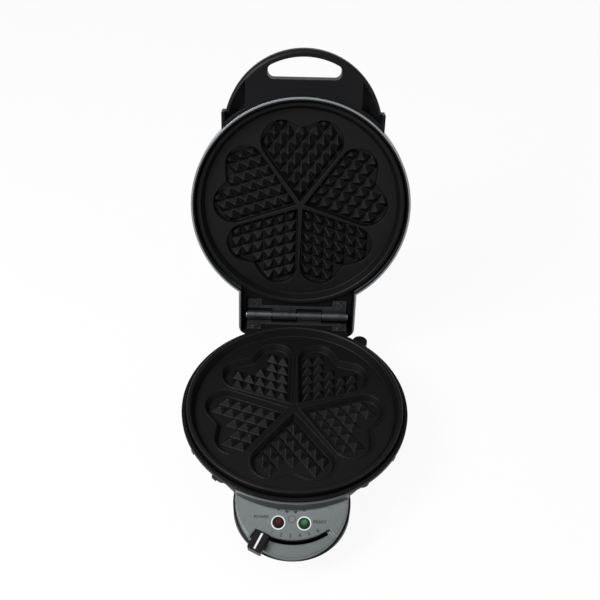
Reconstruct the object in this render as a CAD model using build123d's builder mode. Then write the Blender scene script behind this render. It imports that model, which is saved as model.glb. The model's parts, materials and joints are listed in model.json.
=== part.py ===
from build123d import *
import os
from math import asin, atan2, cos, degrees, pi, radians, sin, sqrt, tan

os.makedirs("parts", exist_ok=True)

# Electric waffle maker for five hearts, shown with its lid open.
# Millimetres. +Z is up, the floor is z = 0, and the origin lies on the floor under the
# middle of the lower plate. The control panel and the closed handle point towards -Y.

# ---------------------------------------------------------------- driving dimensions
# Base housing
plate_radius = 102.6        # edge of both cast plates
rim_margin = 4.9            # edge of the plates to the outside of the housing
rim_radius = plate_radius + rim_margin     # outside of the black housing at its top edge
rim_height = 62.0           # top edge above the floor
rim_band = 4.0              # upright band below the top edge
rim_lip = 3.4               # thickness of the housing at its top edge
waist_draw = 15.0           # the housing has drawn in by this halfway down
waist_radius = rim_radius - waist_draw
bottom_draw = 23.5          # and by this at the underside
bottom_radius = rim_radius - bottom_draw
base_clearance = 6.0        # underside above the floor
shell_wall = 2.4
ledge_drop = 4.0            # seat of the lower plate below the top edge
ledge_width = 7.0
ledge_thickness = 2.6

# Cast plates
plate_proud = 5.5           # rim of the lower plate above the housing's edge
plate_gap = 0.4             # between the two rims when the lid is down
plate_rim = 4.4
plate_rim_edge = 0.8
plate_slope = 3.5           # sloping band inside the rim
deck_depth = 8.5            # rim down to the flat land round the hearts
cavity_depth = 5.5          # land down to the floor of a heart
plate_floor = 3.0
core_step = 13.6            # edge of a plate to the thick middle of its casting
core_radius = plate_radius - core_step
land_thickness = 3.4

# Hearts
heart_count = 5
heart_tip = 3.6             # centre of the plate to the point of a heart
lobe_reach = 63.5           # centre of the plate to the middle of the lobes
lobe_offset = 19.8          # lobes to either side of the heart's own line
lobe_radius = 20.4
notch_reach = 77.4          # centre of the plate to the notch between the lobes
lower_inset = 1.4           # the lower hearts are drawn in by this
lower_margin = 3.6          # width of the sloping wall of a lower heart
upper_margin = 1.2
bead_width = 1.3            # raised line round each lower heart
bead_height = 0.9
pyramid_pitch = 11.0
pyramid_gap = 0.7
pyramid_tip = 1.8
pyramid_height = 5.2
pyramid_margin = 1.6        # least reach of a pyramid's middle inside the heart

# Heating
element_radius = 3.3
element_ring = 58.0
element_sweep = 310.0
element_seat = 0.1
pin_radius = 1.5
pin_length = 12.0
channel_wall = 1.6
channel_height = 4.0
boss_inset = 11.0           # bosses inside the edge of the thick middle
boss_circle = core_radius - boss_inset
boss_radius = 5.0
boss_count = 4
boss_height = 7.4
post_circle = 40.0
post_bite = 5.0
reflector_thickness = 0.8
reflector_inset = 3.0
reflector_radius = core_radius - reflector_inset
reflector_lip = 5.0
reflector_notch_reach = 62.0
reflector_notch_half = 16.0

# Screws
screw_radius = 2.0
screw_head_radius = 3.7
screw_head_height = 2.4
screw_bite = 6.5            # thread inside the boss
screw_play = 0.1
well_play = 0.6
screw_web = 2.6             # plastic under a screw head

# Hinge
hinge_reach = 9.0           # hinge axis behind the housing's edge
hinge_y = rim_radius + hinge_reach
lid_opening = 109.0
knuckle_radius = 4.5
knuckle_length = 25.0
knuckle_gap = 1.0
knuckle_count = 4
hinge_pin_radius = 2.4
hinge_play = 0.06
leaf_thickness = 1.5
leaf_reach = 9.0
leaf_strip = 3.0
leaf_lift = 5.7             # mounting face of a leaf from the hinge axis
ear_reach = 16.0
ear_width = 14.5
ear_screw_x = 44.0
ear_screw_y = 11.5
ear_bite = 5.0
pin_cap_radius = 3.3
pin_cap_height = 1.2
block_half = 53.0           # hinge block of the housing, half its width
block_depth = 5.5           # hinge block behind the axis
block_rear = hinge_y + block_depth
block_shelf = 5.0
block_slope = 2.0
block_waist = (hinge_y - 18.5, 40.0)  # hinge block's underside, where it clears the lid's shroud
neck_reach = 10.5           # underside's step in front of the axis
block_neck = hinge_y - neck_reach
pedestal_inset = 0.5
pedestal_rear = hinge_y - pedestal_inset
pedestal_top = 24.0

# Lid
lid_setback = 0.1           # lid inside the housing's edge
lid_radius = rim_radius - lid_setback
lid_edge = 5.3              # edge of the lid below the parting plane
lid_side = 10.0             # upright side of the lid above the parting plane
lid_shoulder = 29.0
shoulder_draw = 19.4
lid_shoulder_radius = lid_radius - shoulder_draw
bend_draw = 8.4
lid_bend_radius = lid_radius - bend_draw
lid_bend = 23.5
lid_crown = 36.0
lid_wall = 1.6
lid_lip = 3.2
tongue_half = 60.5          # rear shroud over the hinge, half its width
tongue_wall = 3.0
tongue_rear = 20.5          # shroud behind the hinge axis
tongue_top = 21.0
tongue_corner = 9.0
chassis_inset = 5.0
chassis_radius = core_radius - chassis_inset
mount_play = 0.3
mount_rear = 2.0            # hinge mount of the lid, past the hinge axis
mount_angle = 33.0

# Handle
handle_radius = 75.0
handle_inset = 33.7         # middle of the handle's arc inside the lid's edge
handle_centre = handle_inset - lid_radius
handle_half = 76.5
side_front = 18.3
handle_side_front = handle_centre - side_front
side_rear = 7.7
handle_side_rear = handle_centre + side_rear
handle_bottom = -3.0
handle_top = 13.0
handle_wall = 3.0
handle_deck = 5.0
handle_clearance = 0.3
grip_half = 34.0
grip_reach = 35.0           # front of the finger hole from the lid's edge
grip_front = -lid_radius - grip_reach
grip_start = 15.1           # and its rear
grip_rear = -lid_radius - grip_start
grip_corner = 6.0
pocket_inner = 54.0
handle_fillet = 4.0
handle_screw_bite = 8.0
handle_screw_angle = 24.0
handle_screw_height = 5.0

# Control panel
panel_reach = 2.5           # middle of the panel in front of the housing's edge
panel_y = -rim_radius - panel_reach
panel_height = 52.0
panel_tilt = 15.0
fascia_radius = 50.0
fascia_inset = 11.5
fascia_centre = panel_y + fascia_inset
fascia_skirt = 8.5
fascia_wall = 2.0
collar_thickness = 2.2
collar_top = 61.0
collar_play = 0.4
chin_radius = 52.0
chin_inset = 1.3
chin_centre = fascia_centre + chin_inset
chin_low = 33.0
chin_drop = 24.0
chin_taper = 43.0
pivot_reach = 27.4          # slider axis behind the middle of the panel
notch_radius = 54.0
notch_left = -34.0
notch_right = 37.5
terrace_drop = 3.5
fascia_screw_x = 38.0
fascia_screw_reach = 2.0    # screws in front of the middle of the panel
fascia_screw_y = panel_y - fascia_screw_reach
fascia_boss_height = 14.0   # bosses of the panel, from its face down to the towers under them
fascia_boss_radius = 5.0
slot_width = 3.0
slot_margin = 3.0

# Slider
slider_rest = -25.6
knob_back = 54.7
knob_front = 72.5
knob_width = 13.0
knob_height = 10.0
knob_lift = 0.5
knob_corner = 1.6
rib_pitch = 2.6
rib_width = 1.2
rib_depth = 0.7
pointer_width = 1.8
pointer_depth = 0.8
lever_depth = 14.5
lever_thickness = 1.6
lever_width = 9.0
stem_width = 8.0
stem_bite = 4.0
lever_gap = 1.5             # lever above the thermostat
spindle_bite = 4.0
hub_radius = 7.0
spindle_radius = 3.0
spindle_play = 0.05

# Lamps
lamp_spacing = 22.4
lamp_y = -11.8
bezel_radius = 6.2
bezel_height = 1.0
lens_radius = 5.1
lens_rise = 1.8
lens_depth = 4.0
lens_play = 0.1
lens_round = 1.2
neon_radius = 2.6
neon_length = 6.5
holder_length = 36.0
holder_width = 11.0
holder_thickness = 1.2
holder_corner = 2.0

# Thermostat
thermostat_width = 22.0
thermostat_depth = 20.0
thermostat_height = 9.0
thermostat_corner = 2.0
bracket_thickness = 1.5
bracket_flange = 15.0
fuse_radius = 3.2
fuse_strap_thickness = 0.8
fuse_clip_width = 5.0
fuse_length = 15.0
fuse_lead = 6.0
fuse_strap = 18.0
fuse_y = 26.0
terminal_size = (30.0, 14.0, 12.0)
terminal_centre = (-34.0, 30.0)
terminal_ways = 4

# Cord outlet, feet and clips
outlet_angle = 57.0
outlet_length = 16.5         # cord outlet outside the housing's edge
outlet_reach = rim_radius + outlet_length
outlet_height = 36.0
outlet_width = 12.0
outlet_depth = 9.0
sleeve_radius = 7.6
sleeve_bottom = 30.0
sleeve_top = 45.0
gland_radius = 5.4
gland_flange = 6.6
gland_flange_height = 2.2
gland_bore = 3.5
gland_play = 0.05
foot_radius = 8.0
foot_stem_radius = 3.0
foot_play = 0.1
foot_chamfer = 1.2
front_foot = (-67.0, -42.5)
rear_foot = (-44.0, 106.0)
clip_angles = (208.0, 228.0, 332.0)
clip_inset = 1.5            # clips' ends inside the housing's surface
clip_reach = rim_radius - clip_inset
clip_width = 5.0
clip_height = 4.5
clip_level = 48.0
vent_length = 22.0
vent_width = 3.2
vent_count = 12
vent_circle = 50.0

# ---------------------------------------------------------------- derived sizes and planes
parting_height = rim_height + plate_proud + plate_gap / 2
plate_back = deck_depth + cavity_depth + plate_floor
seat_depth = plate_proud + ledge_drop


def opened(y, z):
    """A point of the closed lid, given from the hinge, after the lid swings open."""
    turn = radians(lid_opening)
    return hinge_y + y * cos(turn) + z * sin(turn), parting_height - y * sin(turn) + z * cos(turn)


lid_y, lid_z = opened(-hinge_y, 0)
lid_normal = (0, sin(radians(lid_opening)), cos(radians(lid_opening)))
lid = Plane(origin=(0, lid_y, lid_z), x_dir=(1, 0, 0), z_dir=lid_normal)
lower_face = Plane.XY.offset(parting_height - plate_gap / 2)
upper_face = Plane(origin=lid.offset(plate_gap / 2).origin, x_dir=(1, 0, 0), z_dir=-lid.z_dir)
panel_normal = (0, -sin(radians(panel_tilt)), cos(radians(panel_tilt)))
panel = Plane(origin=(0, panel_y, panel_height), x_dir=(1, 0, 0), z_dir=panel_normal)
seam = panel.offset(-fascia_skirt)
pivot = Plane(origin=panel.from_local_coords((0, pivot_reach, 0)), x_dir=(1, 0, 0), z_dir=panel_normal)
tower_top = lower_face.origin.Z - plate_back - boss_height - reflector_thickness


def turned(plane, angle):
    """A plane turned about its own normal."""
    return Plane(plane.location * Rotation(0, 0, angle))


slider = turned(pivot, slider_rest)


def axis_of(plane):
    """The line through a plane's origin, square to it."""
    return Axis(plane.origin, plane.z_dir)


def turned_over(plane):
    """The same plane, facing the other way."""
    return Plane(origin=plane.origin, x_dir=plane.x_dir, z_dir=-plane.z_dir)


def section_of(plane):
    """A plane through another plane's axis: x outwards, y along the axis."""
    return Plane(origin=plane.origin, x_dir=plane.x_dir, z_dir=-plane.y_dir)


def save(piece, node):
    """Label a finished piece and write it under its node's name."""
    piece.part.label = node
    export_step(piece.part, f"parts/{node}.step")


def ring_points(radius, count, start):
    """Points evenly spread round a circle, from a starting angle in degrees."""
    step = 2 * pi / count
    return [(radius * cos(radians(start) + k * step), radius * sin(radians(start) + k * step))
            for k in range(count)]


# ---------------------------------------------------------------- hearts
def heart_shape(inset):
    """Corners of half a heart along +X: point, side tangent, notch tangent, notch, lobe radius."""
    radius = lobe_radius - inset

    def tangent(from_x, side):
        reach = sqrt((lobe_reach - from_x) ** 2 + lobe_offset ** 2)
        turn = atan2(lobe_offset, lobe_reach - from_x) + side * asin(radius / reach)
        run = sqrt(reach ** 2 - radius ** 2)
        return from_x + run * cos(turn), run * sin(turn), turn

    full_side = atan2(lobe_offset, lobe_reach - heart_tip)
    full_side += asin(lobe_radius / sqrt((lobe_reach - heart_tip) ** 2 + lobe_offset ** 2))
    flank = atan2(lobe_offset, lobe_reach - notch_reach)
    flank -= asin(lobe_radius / sqrt((lobe_reach - notch_reach) ** 2 + lobe_offset ** 2))
    tip = heart_tip + inset / sin(full_side)
    notch = notch_reach - inset / sin(flank)
    return tip, tangent(tip, 1), tangent(notch, -1), notch, radius


def heart(inset):
    """Outline of a heart, its point towards the origin and its lobes along +X."""
    tip, side, flank, notch, radius = heart_shape(inset)
    start = degrees(atan2(side[1] - lobe_offset, side[0] - lobe_reach))
    end = degrees(atan2(flank[1] - lobe_offset, flank[0] - lobe_reach))
    with BuildSketch() as outline:
        with BuildLine():
            Line((tip, 0), (side[0], side[1]))
            CenterArc((lobe_reach, lobe_offset), radius, start, end - start)
            Line((flank[0], flank[1]), (notch, 0))
            mirror(about=Plane.XZ)
        make_face()
    return outline.sketch


def in_heart(x, y, inset):
    """True for a point inside the heart drawn with that inset."""
    tip, side, flank, notch, radius = heart_shape(inset)
    y = abs(y)
    if sqrt((x - lobe_reach) ** 2 + (y - lobe_offset) ** 2) < radius:
        return True
    below_side = y < (x - tip) * tan(side[2])
    below_flank = x < notch or y > (x - notch) * tan(flank[2])
    return below_side and below_flank and x < flank[0] and (x < lobe_reach or y < lobe_offset)


def pyramid_cells(inset, whole):
    """Middles of the pyramids of one heart, in rows along its two sides."""
    half = pi / heart_count
    step = pyramid_pitch / sin(2 * half)
    long_half = (step - pyramid_gap) * cos(half)
    short_half = (step - pyramid_gap) * sin(half)
    corners = ((long_half, 0), (-long_half, 0), (0, short_half), (0, -short_half))
    start = heart_shape(inset)[0] + step * cos(half)
    rows = range(heart_count * 2)
    cells = [(start + (i + j) * step * cos(half), (i - j) * step * sin(half)) for i in rows for j in rows]
    if whole:
        return [c for c in cells if all(in_heart(c[0] + dx, c[1] + dy, inset) for dx, dy in corners)]
    return [c for c in cells if in_heart(c[0], c[1], inset + pyramid_margin)]


def pyramid_field(floor, inset, whole):
    """The pyramids of one heart, standing on its floor and cut off at the heart's wall."""
    half = pi / heart_count
    side = (pyramid_pitch - pyramid_gap) / sin(2 * half)
    corners = [(side * cos(half), 0), (0, side * sin(half)), (-side * cos(half), 0), (0, -side * sin(half))]
    lean = degrees(atan2((pyramid_pitch - pyramid_gap - pyramid_tip) / 2, pyramid_height))
    with BuildPart() as field:
        with BuildSketch(floor):
            with Locations(*pyramid_cells(inset, whole)):
                Polygon(*corners, align=None)
        extrude(amount=pyramid_height, taper=lean)
        with BuildSketch(floor):
            add(heart(inset))
        extrude(amount=pyramid_height, mode=Mode.INTERSECT)
    return field.part


def cast_plate(face, first_angle, inset, margin, bead, whole):
    """One cast plate. The face's plane is its rim, with the plane's normal out of the cooking side."""
    deck = face.offset(-deck_depth)
    angles = [first_angle + k * 360 / heart_count for k in range(heart_count)]
    floors = [turned(face.offset(-deck_depth - cavity_depth), angle) for angle in angles]
    fields = [pyramid_field(floor, inset + margin, whole) for floor in floors]
    deck_radius = plate_radius - plate_rim - plate_slope
    with BuildPart() as plate:
        with BuildSketch(section_of(face)):
            with BuildLine():
                Polyline((0, -deck_depth), (deck_radius, -deck_depth),
                         (plate_radius - plate_rim, -plate_rim_edge),
                         (plate_radius - plate_rim + plate_rim_edge, 0),
                         (plate_radius - plate_rim_edge, 0), (plate_radius, -plate_rim_edge),
                         (plate_radius, -seat_depth), (core_radius + ledge_width, -seat_depth),
                         (core_radius + land_thickness, -deck_depth - land_thickness),
                         (core_radius, -deck_depth - land_thickness), (core_radius, -plate_back),
                         (0, -plate_back), close=True)
            make_face()
        revolve(axis=axis_of(face))
        for angle in angles:
            if bead:
                with BuildSketch(turned(deck, angle)):
                    add(heart(inset - bead_width))
                extrude(amount=bead)
        for angle in angles:
            top = turned(deck.offset(bead), angle)
            with BuildSketch(top):
                add(heart(inset))
            with BuildSketch(top.offset(-bead - cavity_depth)):
                add(heart(inset + margin))
            loft(ruled=True, mode=Mode.SUBTRACT)
        add(fields)
        with BuildSketch(face.offset(-plate_back)):
            for side in (-1, 1):
                wall = element_ring + side * (element_radius + element_seat + channel_wall / 2)
                Circle(wall + channel_wall / 2)
                Circle(wall - channel_wall / 2, mode=Mode.SUBTRACT)
        extrude(amount=-channel_height)
        with BuildSketch(face.offset(-plate_back)):
            with Locations(*ring_points(boss_circle, boss_count, 45)):
                Circle(boss_radius)
        extrude(amount=-boss_height)
        with BuildSketch(face.offset(-plate_back - boss_height)):
            with Locations(*ring_points(boss_circle, boss_count, 45)):
                Circle(screw_radius + screw_play)
        extrude(amount=screw_bite + screw_play, mode=Mode.SUBTRACT)
    return plate


def heating_element(face):
    """Tubular heater under a plate: an open ring with a terminal pin at each end."""
    level = face.offset(-plate_back - element_seat - element_radius)
    start = 90 + (360 - element_sweep) / 2
    with BuildPart() as element:
        with BuildLine(level):
            loop = CenterArc((0, 0), element_ring, start, element_sweep)
        ends = [Plane(origin=loop @ 0, z_dir=-(loop % 0)), Plane(origin=loop @ 1, z_dir=loop % 1)]
        with BuildSketch(Plane(origin=loop @ 0, z_dir=loop % 0)):
            Circle(element_radius)
        sweep(path=loop)
        for end in ends:
            with BuildSketch(end):
                Circle(pin_radius)
            extrude(amount=pin_length)
    return element


def reflector(plane, radius, extra_holes=(), notched=False):
    """Pressed dish behind a heater, with a hole at each screw and a notch for the thermostat.

    The plane is its front side.
    """
    with BuildPart() as dish:
        with BuildSketch(plane):
            Circle(radius)
        extrude(amount=-reflector_thickness)
        with BuildSketch(plane):
            Circle(radius)
            Circle(radius - reflector_thickness, mode=Mode.SUBTRACT)
        extrude(amount=reflector_lip)
        with BuildSketch(plane):
            with Locations(*ring_points(boss_circle, boss_count, 45), *extra_holes):
                Circle(screw_radius + screw_play)
        extrude(amount=-reflector_thickness, mode=Mode.SUBTRACT)
        if notched:
            with BuildSketch(plane.offset(-reflector_thickness)):
                with Locations((0, -reflector_notch_reach)):
                    Rectangle(2 * reflector_notch_half, radius, align=(Align.CENTER, Align.MAX))
            extrude(amount=reflector_thickness + reflector_lip, mode=Mode.SUBTRACT)
    return dish


def screws(plane, points, length):
    """Screws with their heads on a plane and their shanks along its normal."""
    with BuildPart() as group:
        with BuildSketch(plane):
            with Locations(*points):
                Circle(screw_head_radius)
        extrude(amount=-screw_head_height)
        with BuildSketch(plane):
            with Locations(*points):
                Circle(screw_radius)
        extrude(amount=length)
        with BuildSketch(plane.offset(-screw_head_height)):
            with Locations(*points):
                Rectangle(screw_head_radius, screw_radius / 2)
                Rectangle(screw_radius / 2, screw_head_radius)
        extrude(amount=screw_head_height / 2, mode=Mode.SUBTRACT)
    return group


# ---------------------------------------------------------------- base housing
def bowl(inset, floor, top_radius):
    """Section of the round housing, drawn in from the outside by a wall."""
    with BuildSketch() as section:
        with BuildLine():
            Line((0, floor), (bottom_radius - inset, floor))
            ThreePointArc((bottom_radius - inset, floor),
                          (waist_radius - inset, rim_height / 2),
                          (top_radius, rim_height - rim_band))
            Line((top_radius, rim_height - rim_band), (top_radius, rim_height))
            Line((top_radius, rim_height), (0, rim_height))
            Line((0, rim_height), (0, floor))
        make_face()
    return section.sketch


def chin(inset):
    """Housing under the control panel: round, narrowing downwards, cut off at the panel's seam."""
    with BuildPart() as body:
        with BuildSketch(Plane.XY.offset(chin_low)):
            with Locations((0, chin_centre)):
                Circle(chin_radius - inset)
        extrude(amount=rim_height - chin_low)
        extrude(body.faces().sort_by(Axis.Z)[0], amount=chin_drop - inset, taper=chin_taper)
        split(bisect_by=seam, keep=Keep.BOTTOM)
    return body.part


def block_section():
    """Side view of the hinge block and its pedestal, in the YZ plane."""
    with BuildSketch() as section:
        Polygon((0, base_clearance), (pedestal_rear, base_clearance),
                (pedestal_rear, pedestal_top), block_waist,
                (block_neck, rim_height - block_shelf - block_slope),
                (block_rear, rim_height - block_shelf),
                (block_rear, rim_height), (0, rim_height), align=None)
    return section.sketch


outlet_direction = (cos(radians(outlet_angle)), sin(radians(outlet_angle)))
outlet_point = (outlet_reach * outlet_direction[0], outlet_reach * outlet_direction[1])
outlet_plane = Plane(origin=(0, 0, outlet_height), x_dir=(*outlet_direction, 0), z_dir=(0, 0, 1))
feet_points = [front_foot, (-front_foot[0], front_foot[1]), rear_foot, (-rear_foot[0], rear_foot[1])]
tower_points = ring_points(boss_circle, boss_count, 45)
fascia_screw_points = [(side * fascia_screw_x, fascia_screw_y) for side in (-1, 1)]
fascia_tower_top = panel_height + (fascia_screw_y - panel_y) * tan(radians(panel_tilt)) - fascia_boss_height
well_radius = screw_head_radius + well_play

with BuildPart() as fascia_towers:
    with BuildSketch(Plane.XY.offset(chin_low - chin_drop)):
        with Locations(*fascia_screw_points):
            Circle(well_radius + shell_wall)
    extrude(amount=fascia_tower_top - chin_low + chin_drop)
    add(chin(0), mode=Mode.INTERSECT)
ear_points = [(side * ear_screw_x, ear_screw_y) for side in (-1, 1)]
base_leaf_plane = Plane(origin=(0, hinge_y, parting_height), x_dir=(1, 0, 0), z_dir=(0, 0, -1))
lid_leaf_plane = Plane(origin=(0, hinge_y, parting_height), x_dir=(-1, 0, 0), z_dir=lid.z_dir)


with BuildPart() as base_shell:
    with BuildSketch(Plane.XZ):
        add(bowl(0, base_clearance, rim_radius))
    revolve(axis=Axis.Z)
    add(chin(0))
    with BuildSketch(Plane.YZ):
        add(block_section())
    extrude(amount=block_half, both=True)
    with BuildSketch(outlet_plane):
        with Locations((outlet_reach / 2, 0)):
            Rectangle(outlet_reach, outlet_width)
    extrude(amount=outlet_depth)
    with BuildSketch(Plane.XZ):
        add(bowl(shell_wall, base_clearance + shell_wall, rim_radius - rim_lip))
    revolve(axis=Axis.Z, mode=Mode.SUBTRACT)
    add(chin(shell_wall), mode=Mode.SUBTRACT)
    with BuildSketch(Plane.XY.offset(base_clearance + shell_wall)):
        with Locations((0, pedestal_rear / 2)):
            Rectangle(2 * (block_half - shell_wall), pedestal_rear - 2 * shell_wall)
    extrude(amount=pedestal_top - base_clearance - 3 * shell_wall, mode=Mode.SUBTRACT)
    with BuildSketch(Plane.XY.offset(sleeve_bottom)):
        with Locations(outlet_point):
            Circle(sleeve_radius)
    extrude(amount=sleeve_top - sleeve_bottom)
    with BuildSketch(Plane.XY.offset(sleeve_bottom)):
        with Locations(outlet_point):
            Circle(gland_radius + gland_play)
    extrude(amount=sleeve_top - sleeve_bottom - shell_wall, mode=Mode.SUBTRACT)
    with BuildSketch(outlet_plane.offset(shell_wall)):
        with Locations(((outlet_reach + waist_radius - shell_wall) / 2, 0)):
            Rectangle(outlet_reach - waist_radius + shell_wall, outlet_width - 2 * shell_wall)
    extrude(amount=outlet_depth - 2 * shell_wall, mode=Mode.SUBTRACT)
    with BuildSketch(Plane.XY.offset(rim_height - ledge_drop - ledge_thickness)):
        Circle(rim_radius - rim_lip)
        Circle(rim_radius - rim_lip - ledge_width, mode=Mode.SUBTRACT)
    extrude(amount=ledge_thickness)
    with BuildSketch(Plane.XY.offset(base_clearance + shell_wall)):
        with Locations(*tower_points):
            Circle(well_radius + shell_wall)
    extrude(amount=tower_top - base_clearance - shell_wall)
    add(fascia_towers.part)
    for points, top in ((tower_points, tower_top), (fascia_screw_points, fascia_tower_top)):
        with BuildSketch(Plane.XY):
            with Locations(*points):
                Circle(well_radius)
        extrude(amount=top - screw_web, mode=Mode.SUBTRACT)
        with BuildSketch(Plane.XY):
            with Locations(*points):
                Circle(screw_radius + screw_play)
        extrude(amount=top, mode=Mode.SUBTRACT)
    with BuildSketch(Plane.XY.offset(base_clearance)):
        with PolarLocations(vent_circle, vent_count):
            SlotOverall(vent_length, vent_width)
    extrude(amount=shell_wall, mode=Mode.SUBTRACT)
    with BuildSketch(Plane.XY.offset(clip_level)):
        for angle in clip_angles:
            with Locations(Location((0, 0, 0), (0, 0, angle))):
                with Locations((clip_reach - clip_width / 2, 0)):
                    Rectangle(clip_width, clip_width)
    extrude(amount=clip_height)
    with BuildSketch(Plane.XY):
        with Locations(*feet_points):
            Circle(foot_stem_radius + foot_play)
    extrude(amount=base_clearance + shell_wall, mode=Mode.SUBTRACT)
    with BuildSketch(base_leaf_plane.offset(leaf_lift)):
        with Locations(*ear_points):
            Circle(screw_radius + screw_play)
    extrude(amount=ear_bite + screw_play, mode=Mode.SUBTRACT)
save(base_shell, "base_shell")

with BuildPart() as feet:
    with BuildSketch(Plane.XY):
        with Locations(*feet_points):
            Circle(foot_radius)
    extrude(amount=base_clearance)
    with BuildSketch(Plane.XY.offset(base_clearance)):
        with Locations(*feet_points):
            Circle(foot_stem_radius)
    extrude(amount=shell_wall)
    chamfer(feet.edges().group_by(Axis.Z)[0], foot_chamfer)
save(feet, "rubber_feet")

# ---------------------------------------------------------------- lower plate and heating
lower_plate = cast_plate(lower_face, -90, lower_inset, lower_margin, bead_height, True)
save(lower_plate, "lower_plate")

lower_element = heating_element(lower_face)
save(lower_element, "lower_heating_element")

dish_level = Plane.XY.offset(tower_top + reflector_thickness)
lower_reflector = reflector(dish_level, reflector_radius, notched=True)
save(lower_reflector, "lower_reflector")

lower_screws = screws(Plane.XY.offset(tower_top - screw_web), tower_points,
                      screw_web + reflector_thickness + screw_bite)
save(lower_screws, "lower_plate_screws")

# ---------------------------------------------------------------- lid
def lid_section(inset):
    """Section of the round lid, from its axis outwards, drawn in by a wall."""
    outer = lid_radius - inset
    crown = lid_crown - inset
    rise = lid_crown - lid_shoulder
    dome = ((lid_shoulder_radius - inset) ** 2 + rise ** 2) / (2 * rise)
    halfway = (lid_shoulder_radius - inset) / 2
    with BuildSketch() as section:
        with BuildLine():
            Line((0, -lid_edge), (outer, -lid_edge))
            Line((outer, -lid_edge), (outer, lid_side))
            ThreePointArc((outer, lid_side), (lid_bend_radius - inset, lid_bend - inset),
                          (lid_shoulder_radius - inset, lid_shoulder - inset))
            ThreePointArc((lid_shoulder_radius - inset, lid_shoulder - inset),
                          (halfway, crown - dome + sqrt(dome ** 2 - halfway ** 2)), (0, crown))
            Line((0, crown), (0, -lid_edge))
        make_face()
    return section.sketch


def tongue(inset):
    """Rear shroud of the lid over the hinge, drawn in by a wall."""
    half = tongue_half - inset
    rear = hinge_y + tongue_rear - inset
    with BuildPart() as body:
        with BuildSketch(lid.offset(-lid_edge)):
            with Locations((0, rear / 2)):
                Rectangle(2 * half, rear)
        extrude(amount=lid_edge + tongue_top - inset)
        across = body.edges().filter_by(axis_of(lid))
        fillet(across.sort_by(Axis(lid.origin, lid.y_dir))[-2:], tongue_corner - inset)
    return body.part


def handle_outline(inset):
    """Plan of the handle, outside the round lid, drawn in by a wall."""
    with BuildSketch() as plan:
        with Locations((0, handle_centre)):
            Circle(handle_radius - inset)
        with Locations((0, (handle_side_front + handle_side_rear) / 2)):
            Rectangle(2 * (handle_half - inset), handle_side_rear - handle_side_front)
        with Locations((0, handle_side_rear)):
            Rectangle(2 * lid_radius, 2 * lid_radius, align=(Align.CENTER, Align.MIN), mode=Mode.SUBTRACT)
        Circle(lid_radius + handle_clearance + inset, mode=Mode.SUBTRACT)
    return plan.sketch


def grip_outline(inset):
    """Plan of the finger hole: its front and rear edges follow the handle's curve."""
    reach = handle_centre - grip_front
    with BuildSketch() as plan:
        with Locations((0, handle_centre)):
            Circle(reach - inset)
        with Locations((0, grip_rear - inset)):
            Rectangle(2 * handle_radius, 2 * handle_radius,
                      align=(Align.CENTER, Align.MIN), mode=Mode.SUBTRACT)
        for side in (-1, 1):
            with Locations((side * (grip_half - inset), grip_rear)):
                Rectangle(handle_radius, 2 * reach, mode=Mode.SUBTRACT,
                          align=(Align.MIN if side > 0 else Align.MAX, Align.CENTER))
        fillet(plan.vertices(), grip_corner - inset)
    return plan.sketch


def radial_planes(height, radius):
    """Planes on the lid's skirt, square to it, where the handle is screwed on."""
    planes = []
    for side in (-1, 1):
        angle = radians(-90 + side * handle_screw_angle)
        origin = lid.offset(height).from_local_coords((radius * cos(angle), radius * sin(angle), 0))
        inner = lid.from_local_coords((0, 0, height))
        planes.append(Plane(origin=origin, x_dir=lid.z_dir, z_dir=origin - inner))
    return planes


chassis_level = plate_gap / 2 + plate_back + boss_height
post_points = ring_points(post_circle, boss_count, 0)
handle_seat = sqrt((lid_radius - lid_wall) ** 2 - screw_head_radius ** 2)

with BuildPart() as chassis_posts:
    with BuildSketch(lid.offset(chassis_level + reflector_thickness)):
        with Locations(*post_points):
            Circle(boss_radius)
    extrude(amount=lid_crown - chassis_level)
    with BuildSketch(section_of(lid)):
        add(lid_section(0))
    revolve(axis=axis_of(lid), mode=Mode.INTERSECT)

with BuildPart() as lid_shell:
    with BuildSketch(section_of(lid)):
        add(lid_section(0))
    revolve(axis=axis_of(lid))
    add(tongue(0))
    with BuildSketch(section_of(lid)):
        add(lid_section(lid_wall))
    revolve(axis=axis_of(lid), mode=Mode.SUBTRACT)
    with BuildSketch(lid.offset(-lid_edge)):
        Circle(lid_radius)
        Circle(lid_radius - lid_lip, mode=Mode.SUBTRACT)
    extrude(amount=lid_wall)
    add(tongue(tongue_wall), mode=Mode.SUBTRACT)
    add(chassis_posts.part)
    with BuildSketch(lid.offset(chassis_level + reflector_thickness)):
        with Locations(*post_points):
            Circle(screw_radius + screw_play)
    extrude(amount=post_bite + screw_play, mode=Mode.SUBTRACT)
    for plane in radial_planes(handle_screw_height, lid_radius - lid_wall):
        with BuildSketch(plane):
            Circle(screw_radius + screw_play)
        extrude(amount=lid_wall, both=True, mode=Mode.SUBTRACT)
save(lid_shell, "lid_shell")

upper_plate = cast_plate(upper_face, 90, 0, upper_margin, 0, False)
save(upper_plate, "upper_plate")

upper_element = heating_element(upper_face)
save(upper_element, "upper_heating_element")

chassis_front = upper_face.offset(-plate_back - boss_height)
lid_chassis = reflector(chassis_front, chassis_radius, post_points)
save(lid_chassis, "lid_chassis")

plate_screws = screws(chassis_front.offset(-reflector_thickness), tower_points,
                      reflector_thickness + screw_bite)
save(plate_screws, "upper_plate_screws")

chassis_screws = screws(turned_over(chassis_front), post_points, reflector_thickness + post_bite)
save(chassis_screws, "lid_chassis_screws")

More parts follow.
